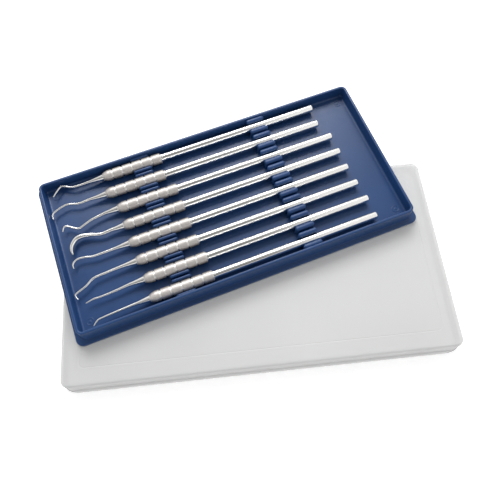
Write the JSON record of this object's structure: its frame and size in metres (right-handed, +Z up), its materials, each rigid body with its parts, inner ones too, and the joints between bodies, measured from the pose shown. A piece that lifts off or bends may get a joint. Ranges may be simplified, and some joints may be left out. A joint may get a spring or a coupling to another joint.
{
  "type": "boxed dental scaler set",
  "caption": "Boxed set of single-ended dental hand scalers clipped side by side in a moulded tray, which stands on its frosted lid.",
  "frame": {"origin": "bottom centre of the set's bounding box, on the surface that the lid lies on", "axes": "+X along the instruments from the working ends to the rod ends, +Y across them from the lid's near side to the tray's far side, +Z up"},
  "size_m": [0.2372, 0.174, 0.024],
  "materials": {
    "polished_steel": "polished",
    "knurled_steel": "fine knurl, satin",
    "blue_plastic": "satin moulded",
    "frosted_plastic": "translucent frosted"
  },
  "bodies": {
    "lid": {"lid": "frosted_plastic"},
    "tray": {"tray": "blue_plastic"},
    "scaler_1": {"tip_1": "polished_steel", "grip_1": "knurled_steel", "rod_1": "polished_steel"},
    "scaler_2": {"tip_2": "polished_steel", "grip_2": "knurled_steel", "rod_2": "polished_steel"},
    "scaler_3": {"tip_3": "polished_steel", "grip_3": "knurled_steel", "rod_3": "polished_steel"},
    "scaler_4": {"tip_4": "polished_steel", "grip_4": "knurled_steel", "rod_4": "polished_steel"},
    "scaler_5": {"tip_5": "polished_steel", "grip_5": "knurled_steel", "rod_5": "polished_steel"},
    "scaler_6": {"tip_6": "polished_steel", "grip_6": "knurled_steel", "rod_6": "polished_steel"},
    "scaler_7": {"tip_7": "polished_steel", "grip_7": "knurled_steel", "rod_7": "polished_steel"},
    "scaler_8": {"tip_8": "polished_steel", "grip_8": "knurled_steel", "rod_8": "polished_steel"}
  },
  "joints": [
    {"name": "tray_lift", "type": "slide", "parent": "lid", "child": "tray", "axis": [0, 0, 1], "range_m": [0, 0.06]},
    {"name": "scaler_1_lift", "type": "slide", "parent": "tray", "child": "scaler_1", "axis": [0, 0, 1], "range_m": [0, 0.04]},
    {"name": "scaler_2_lift", "type": "slide", "parent": "tray", "child": "scaler_2", "axis": [0, 0, 1], "range_m": [0, 0.04]},
    {"name": "scaler_3_lift", "type": "slide", "parent": "tray", "child": "scaler_3", "axis": [0, 0, 1], "range_m": [0, 0.04]},
    {"name": "scaler_4_lift", "type": "slide", "parent": "tray", "child": "scaler_4", "axis": [0, 0, 1], "range_m": [0, 0.04]},
    {"name": "scaler_5_lift", "type": "slide", "parent": "tray", "child": "scaler_5", "axis": [0, 0, 1], "range_m": [0, 0.04]},
    {"name": "scaler_6_lift", "type": "slide", "parent": "tray", "child": "scaler_6", "axis": [0, 0, 1], "range_m": [0, 0.04]},
    {"name": "scaler_7_lift", "type": "slide", "parent": "tray", "child": "scaler_7", "axis": [0, 0, 1], "range_m": [0, 0.04]},
    {"name": "scaler_8_lift", "type": "slide", "parent": "tray", "child": "scaler_8", "axis": [0, 0, 1], "range_m": [0, 0.04]}
  ]
}
